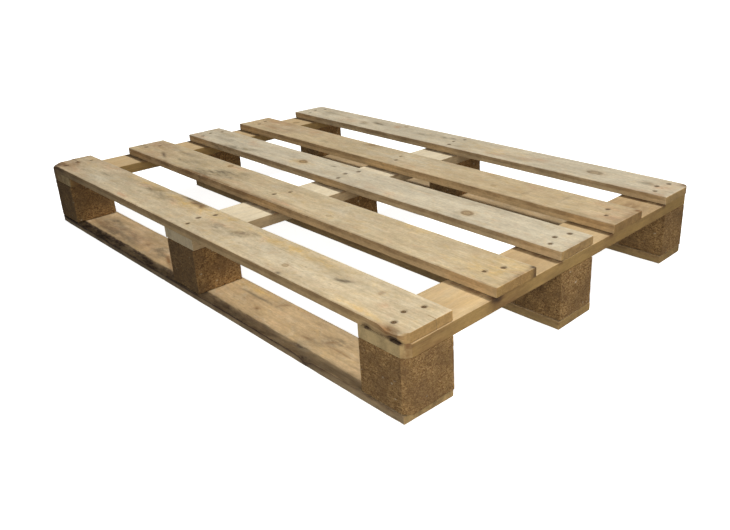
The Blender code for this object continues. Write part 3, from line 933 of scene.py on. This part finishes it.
def front_marks(pallet):
    """The front deck board's own marks, with painted shade on its splintered lower front edge, where the gap
    over the cross board lies in shadow.
    """
    shades = make_marks(FRONT_MARKS, 11, 0.5)(pallet)
    lower = ease(pallet[:, 2], 0.1345, 0.1300)
    # painted shade on the lower front face over the lost splinters
    shades[:, 2] += 0.9 * lower * lost_splinters(pallet) * (pallet[:, 1] < ON_FRONT_DECK_FACE)
    return shades


def wane_edge(pallet):
    """How far each point is inside the front bottom board's rough outer strip, from 0 to 1."""
    ragged = 1.6 * noise(pallet, (18, 0, 0), 911) + 1.4 * noise(pallet, (90, 0, 0), 914, 2)
    width = WANE_WIDTH + MM * ragged
    return ease(pallet[:, 1] - FRONT_BOTTOM_EDGE, width, width - 1.5 * MM)


def bark_edge(pallet):
    """Missing thickness: the front bottom board was sawn at the tree's surface, so that strip is low."""
    slope = ease(pallet[:, 1] - FRONT_BOTTOM_EDGE, WANE_WIDTH, 0.0)
    bumps = noise(pallet, (70, 190, 0), 912)
    right = ease(pallet[:, 0], 0.30, 0.50)
    notch = 0.006 * patch(pallet, 0.364, -0.398, 0.014, 0.006)
    notch += 0.002 * patch(pallet, 0.322, -0.381, 0.012, 0.005)
    share = (1 - 0.5 * right) * ease(pallet[:, 0], -0.600, -0.560)
    return wane_edge(pallet) * (0.0014 + 0.0012 * slope + 0.0011 * bumps) * share + notch


# ================ build the wood
front_deck = wood_material(
    "front_deck_wood", (214, 194, 156), (192, 164, 120), 0.50, (203, 191, 168), (186, 152, 104),
    end=(174, 136, 80), contrast=0.26, depth=0.92)
grey_deck = wood_material(
    "grey_deck_wood", (221, 207, 178), (198, 178, 144), 0.60, (210, 200, 178), (204, 172, 124),
    contrast=0.24, depth=0.88)
warm_front_deck = wood_material(
    "warm_front_deck_wood", (214, 194, 156), (188, 160, 118), 0.35, (202, 188, 160), (218, 182, 132),
    end=(174, 136, 72), contrast=0.25, hue_spread=0.30, depth=0.88)
warm_rear_deck = wood_material(
    "warm_rear_deck_wood", (214, 192, 152), (190, 162, 118), 0.30, (200, 184, 154), (226, 190, 138),
    end=(142, 106, 48), contrast=0.25, hue_spread=0.30, depth=0.88)
cross_wood = wood_material(
    "cross_board_wood", (211, 184, 140), (198, 164, 116), 0.12, (210, 186, 146), (160, 125, 62), 0.30,
    (206, 183, 138), contrast=0.16, hue_spread=0.16, depth=0.5)
pale_cross_wood = wood_material(
    "pale_cross_board_wood", (240, 226, 196), (222, 200, 162), 0.12, (234, 220, 190), (170, 138, 92), 0.30,
    (226, 208, 172), contrast=0.12, hue_spread=0.14, depth=0.5)
dirty_bottom = wood_material(
    "dirty_bottom_board_wood", (212, 184, 142), (186, 154, 110), 0.25, (196, 175, 142), (158, 136, 106), 0.5,
    (196, 162, 106), hue_spread=0.28)
bottom_wood = wood_material(
    "bottom_board_wood", (204, 176, 134), (180, 148, 104), 0.25, (190, 170, 138), (176, 144, 92), 0.3,
    (170, 138, 88))
pressed = pressed_material("pressed_wood")
steel = nail_material("nail_steel")

FRONT_EDGE, REAR_EDGE = -1, 1
CORNER_CUT = 0.012
# width and depth of the splits at the boards' ends
SHORT_SPLIT, WIDER_SPLIT, LONG_SPLIT = (0.5 * MM, 3 * MM), (0.6 * MM, 3 * MM), (0.7 * MM, 4 * MM)

DECK_BOARDS = {
    "front": dict(
        material=front_deck, material_slot="weathered_deck_wood", seed=11, pith=(0.004, -0.055),
        knots=[(0.127, -0.344, 0.0070, 0.30), (0.300, -0.372, 0.004, 0.4)],
        corners=[(-1, FRONT_EDGE, 0.014, True), (1, FRONT_EDGE, 0.012, False)],
        splits=((0.596, 0.580, -0.339), (-0.600, -0.560, -0.350)),
        worn=[(-0.595, 0.035, -1, 1, 5.0), (0.25, 0.02, -1, 1, 1.2), (-0.17, 0.03, 1, 1, 1.5)],
        marks=front_marks, thin_top=worn_near_corners, thin_below=split_below_front),
    "front_inner": dict(
        material=warm_front_deck, material_slot="warm_deck_wood", seed=23, pith=(-0.012, -0.040),
        knots=[(-0.246, -0.134, 0.006, 0.7), (0.180, -0.190, 0.004, 0.35)],
        corners=[(-1, FRONT_EDGE, 0.010, True)],
        splits=((0.600, 0.582, -0.160), (-0.596, -0.570, -0.178)),
        worn=[(-0.58, 0.03, 0, 1, 1.5), (0.58, 0.02, -1, 1, 1.0)],
        marks=make_marks(FRONT_INNER_MARKS, 23, 0.4)),
    "centre": dict(
        material=grey_deck, material_slot="weathered_deck_wood", seed=37, pith=(0.020, -0.050),
        knots=[(-0.148, -0.006, 0.008, 0.8), (0.364, -0.013, 0.008, 0.7)],
        corners=[(-1, FRONT_EDGE, 0.007, True), (1, FRONT_EDGE, 0.005, True)],
        splits=((0.597, 0.575, 0.010), (-0.599, -0.540, -0.020)),
        worn=[(-0.58, 0.03, -1, 1, 2.0), (0.40, 0.03, -1, 1, 1.2), (-0.35, 0.06, -1, 1, 1.8)],
        marks=make_marks(CENTRE_MARKS, 37, 0.6)),
    "rear_inner": dict(
        material=warm_rear_deck, material_slot="warm_deck_wood", seed=41, pith=(-0.020, -0.060),
        knots=[(-0.131, 0.192, 0.006, 0.4), (0.300, 0.140, 0.004, 0.3)],
        splits=((0.600, 0.580, 0.170), (-0.596, -0.570, 0.140)),
        worn=[(-0.58, 0.03, -1, 1, 1.5), (0.55, 0.03, -1, 1, 1.2)],
        marks=make_marks(REAR_INNER_MARKS, 41, 0.4)),
    "rear": dict(
        material=grey_deck, material_slot="weathered_deck_wood", seed=53, pith=(0.010, -0.065),
        knots=[(0.409, 0.348, 0.010, 0.50), (-0.200, 0.380, 0.004, 0.5)],
        corners=[(-1, REAR_EDGE, 0.018, True), (1, REAR_EDGE, 0.020, True)],
        splits=((0.599, 0.575, 0.330), (-0.597, -0.560, 0.360)),
        worn=[(0.58, 0.03, 1, 1, 2.0), (0.58, 0.03, -1, 1, 2.0), (0.30, 0.10, -1, 1, 1.0)],
        marks=make_marks(REAR_MARKS, 53, 0.6)),
}
for board, settings in DECK_BOARDS.items():
    heads = clinch_heads if board in INNER_BOARDS else ring_heads
    right_split, left_split = settings.pop("splits")
    build_board(
        f"deck_board_{board}", nails_top=heads_on(board, heads),
        checks=[(*right_split, *SHORT_SPLIT), (*left_split, *WIDER_SPLIT)], **settings)

END_SIGN = {"left": -1, "right": 1}
CROSS_MARKS = {
    "brown_and_shade": [
        (598, -190, 6, 40, 0.9), (550, 250, 80, 50, 0.6), (550, -85, 80, 35, 0.3), (598, 110, 6, 50, 0.6),
        # (599, -350) is painted shade on the right board's sunlit top edge under the deck board's end, and
        # (-502, -375) is painted shade on the left board's inner face under the deck
        (594, -394, 8, 9, 1), (599, -350, 3, 45, 1), (-575, -400, 45, 4, 0.9), (-502, -375, 6, 30, 0.9),
    ],
    "dirt_and_shade": [
        # (598, -210) is painted shade on the right board's upper side edge below the front inner board's front
        # edge; (599, -350) and (-502, -370) darken the same shaded places as the brown rows
        (598, -210, 6, 12, 0.9), (599, -350, 3, 45, 0.3), (-595, -400, 34, 4, 0.3),
        (-502, -370, 6, 30, 0.35),
    ],
    "yellow": [(594, -394, 10, 10, 1.2), (-515, -400, 12, 6, 1)],
}
# the deck boards' front edges, from which each casts its shadow forward onto the cross boards
DECK_SHADOW_EDGES = [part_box(f"deck_board_{board}")[0][1] for board in ("front_inner", "centre", "rear_inner", "rear")]


def cross_marks(seed):
    """Painted shadow on the cross boards in front of each deck board and painted shade in the gap below the
    front deck board's lost splinters; on the right board's sides the dark marks keep to the upper edge.
    """
    plain = make_marks(CROSS_MARKS, seed, 0.2)

    def marks(pallet):
        x, y, z = pallet.T
        shades = plain(pallet)
        reach = 0.011 * (1 + 0.3 * noise(pallet, (60, 0, 0), seed + 7))
        for shadow_edge in DECK_SHADOW_EDGES:
            # painted shadow of the deck board, about as wide as its cast shadow
            near = ease(shadow_edge - y, reach, 0.004) * (y < shadow_edge + 0.004)
            near *= ease(z, 0.120, 0.124)
            shades[:, 1] += 0.7 * near
            shades[:, 2] += 0.30 * near
        low_on_side = (x > 0.45) * ease(z, 0.121, 0.115)
        shades[:, 2] *= 1 - 0.85 * low_on_side
        # painted shade on the cross board's top edge under the lost splinters
        gap = (y < -0.390) * ease(z, 0.1232, 0.1252)
        shades[:, 2] += 1.1 * gap * lost_splinters(pallet)
        return shades

    return marks


for index, side in enumerate(SIDES):
    # the board lies along Y, so its own -Y side is the pallet's +X side and its -X end is the front one
    cut_ends = {"left": (1,), "middle": (), "right": (-1, 1)}[side]
    outward = END_SIGN.get(side, 0)
    left_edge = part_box(f"cross_board_{side}")[0][0]
    build_board(
        f"cross_board_{side}", cross_wood if outward else pale_cross_wood, "cross_board_wood", 61 + 7 * index,
        knots=[(outward * 0.54 if outward else 0.02, 0.26 - 0.1 * index, 0.006, 0.5)],
        corners=[(end, -outward, CORNER_CUT, False) for end in cut_ends],
        checks=[(0.398, 0.330, left_edge + 0.022 + 0.019 * index, *LONG_SPLIT)],
        marks=cross_marks(61 + index), pith=(0.015 * (index - 1), -0.050))

BOTTOM_MARKS = {
    "front": {
        "grey": [
            (-400, -350, 100, 16, 0.8), (-200, -345, 40, 14, 1.2, -25), (-330, -368, 60, 8, 0.9),
            (-450, -330, 40, 10, 0.6), (352, -348, 50, 20, 0.7, 30), (150, -330, 100, 3, 0.8),
        ],
        "brown_and_shade": [
            (-470, -360, 60, 10, 0.6), (-258, -352, 10, 10, 1.1, 60), (-130, -365, 40, 5, 1.1, -20),
            (172, -355, 6, 5, 1, -30), (200, -318, 12, 4, 0.6, 50), (362, -343, 10, 4, 1, 35),
            (320, -360, 12, 3, 0.9), (400, -352, 40, 3, 0.7),
        ],
        # the last two dark rows darken the notches cut into the outer strip: painted shade
        "dirt_and_shade": [(-360, -350, 150, 30, 0.33), (364, -397, 14, 6, 0.8), (322, -381, 12, 4, 0.7)],
        "yellow": [(100, -315, 60, 8, 0.9)],
        "pink": [(-300, -350, 150, 20, 0.7)],
    },
    "centre": {"grey": [(0, 0, 300, 30, 0.3)]},
    "rear": {"grey": [(200, 350, 300, 30, 0.3)]},
}


def wane_marks_and_shadow(pallet):
    """The front bottom board's own marks, with a painted shadow of the front deck board on the rough outer
    strip, lighter to the right, and painted shade in the groove along the strip's outer edge.
    """
    x, y, z = pallet.T
    shades = make_marks(BOTTOM_MARKS["front"], 83, 0.5)(pallet)
    # the painted shadow grows lighter to the right
    strength = 0.84 - 0.24 * ease(x, -0.20, 0.30) - 0.10 * ease(x, 0.36, 0.40)
    strength *= 1 + 0.34 * noise(pallet, (48, 150, 0), 913)
    # painted shadow of the front deck board on the rough outer strip
    shades[:, 2] += strength * wane_edge(pallet) * ease(z, 0.0120, 0.0145)
    on_face = y < ON_FRONT_BOTTOM_FACE
    # painted shade in the groove between the outer strip and the front face
    groove_shade = np.clip(1 - np.abs(z - 0.0130) / 0.0025, 0, 1) * on_face
    shades[:, 2] += 0.8 * groove_shade * ease(x, 0.42, 0.36)
    outer_left = ease(x, 0.10, -0.10) * on_face
    shades[:, 0] += 0.5 * outer_left
    shades[:, 2] += 0.17 * outer_left
    return shades


for index, row in enumerate(ROWS):
    middle_y = head_spot(f"bottom_board_{row}")[1]
    if row == "front":
        settings = dict(material=dirty_bottom, marks=wane_marks_and_shadow, thin_top=bark_edge, askew=2.2 * MM)
    else:
        knot = (0.22 - 0.3 * index, middle_y + 0.01, 0.006, 0.5)
        marks = make_marks(BOTTOM_MARKS[row], 83 + index, 0.5)
        settings = dict(material=bottom_wood, marks=marks, knots=[knot])
    if row == "rear":
        settings["corners"] = [(end, REAR_EDGE, CORNER_CUT, False) for end in (-1, 1)]
    build_board(
        f"bottom_board_{row}", material_slot="bottom_board_wood", seed=83 + 9 * index,
        nails_below=heads_on(row, bottom_heads),
        checks=[(0.59, 0.53, middle_y + 0.012, *LONG_SPLIT)],
        worn=[(0.585, 0.02, 0, 0, 1.2), (-0.59, 0.02, 0, 0, 1.2)],
        pith=(0.02 - 0.01 * index, -0.045), **settings)


# ================ pressed-wood blocks
BLOCK_SOIL_AND_SHADE = {"left": 0.39, "middle": 0.44, "right": 0.02}   # dirt and painted shade on the outer face of the front row


def build_block(row, side, seed):
    """One block in place of its CAD node, with rough faces and crumbled edges."""
    node = f"block_{row}_{side}"
    low, high = (np.array(corner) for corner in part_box(node))
    middle, half = (low + high) / 2, (high - low) / 2
    end, edge = END_SIGN.get(side, 0), -1 if row == "front" else 1
    cut = end and row != "centre" and (row, side) != ("front", "left")
    folds = [[], [], []]
    if cut:
        folds[:2] = [end * (half[0] - CORNER_CUT)], [edge * (half[1] - CORNER_CUT)]
    points, quads = box_lattice(*(stations(-h, h, 1.7 * MM, (), fold) for h, fold in zip(half, folds)))
    flat = points.copy()
    tumble = noise(flat, (45, 45, 45), seed)
    radius = ARRIS * (1.1 + 0.7 * tumble)
    points, out = soften_edges(points, half, np.clip(radius, 0.5 * MM, 3 * MM))
    sink = 0.22 * MM * (1 + noise(flat, (190, 190, 190), seed + 1, 2))
    sink += 0.8 * MM * np.clip(noise(flat, (80, 80, 80), seed + 2, 2) - 0.3, 0, 1)
    near_edge = 1 - np.clip(np.sort(half - np.abs(flat), axis=1)[:, 1] / (4 * MM), 0, 1)
    sink += 1.6 * MM * near_edge * np.clip(noise(flat, (90, 90, 90), seed + 3, 2) - 0.2, 0, 1)
    points -= out * sink[:, None]
    if cut:
        shape_corner(points, half, end, edge, CORNER_CUT, False)
    soil_and_shade = np.zeros((len(points), 3))
    soil_and_shade[:, 2] = 0.10 * np.clip(tumble, 0, 1)
    if row == "front":
        outer = ease(-out[:, 1], 0.3, 0.8)
        # near_front carries the dirt and painted shade round onto the faces next to the front
        near_front = 0.45 * ease(flat[:, 1] + half[1], 0.040, 0.0)
        patchy = 1 + 0.35 * noise(flat, (35, 35, 35), seed + 4)
        soil_and_shade[:, 2] += BLOCK_SOIL_AND_SHADE[side] * np.maximum(outer, near_front) * patchy
    chips = flat + seed * np.array([0.31, 0.17, 0.23])
    mesh = mesh_from(node + "_chips", points, quads, (("chips", chips), ("marks", np.clip(soil_and_shade, 0, 1))))
    if cut:
        mesh.set_sharp_from_angle(angle=CRISP_ANGLE)
    add_piece(node + "_chips", mesh, pressed, Matrix.Translation(Vector(middle)), node)


for row_index, row in enumerate(ROWS):
    for side_index, side in enumerate(SIDES):
        build_block(row, side, 131 + 17 * row_index + 5 * side_index)


# ================ put the nails in
def add_nail(name, route, where, node=None):
    add_piece(name, swept_mesh(name, route), steel, where, node)


for label, spot in ring_heads.items():
    add_nail(f"ring_nail_{label}", ring_nail_route(0.080, 16), Matrix.Translation(spot), f"nail_{label}")

for label, spot in clinch_heads.items():
    side = label.split("_")[-2]
    drop = spot[2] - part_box(f"cross_board_{side}")[0][2]
    route = clinch_nail_route(drop, -1 if side == "right" else 1)
    add_nail(f"clinched_nail_{label}", route, Matrix.Translation(spot), f"clinch_nail_{label}")

for label, (x, y) in bottom_heads.items():
    where = Matrix.Translation((x, y, BOTTOM_NAIL_SINK)) @ Matrix.Rotation(math.pi, 4, "X")
    add_nail(f"bottom_nail_{label}", ring_nail_route(0.050, 9), where)

bpy.context.view_layer.update()
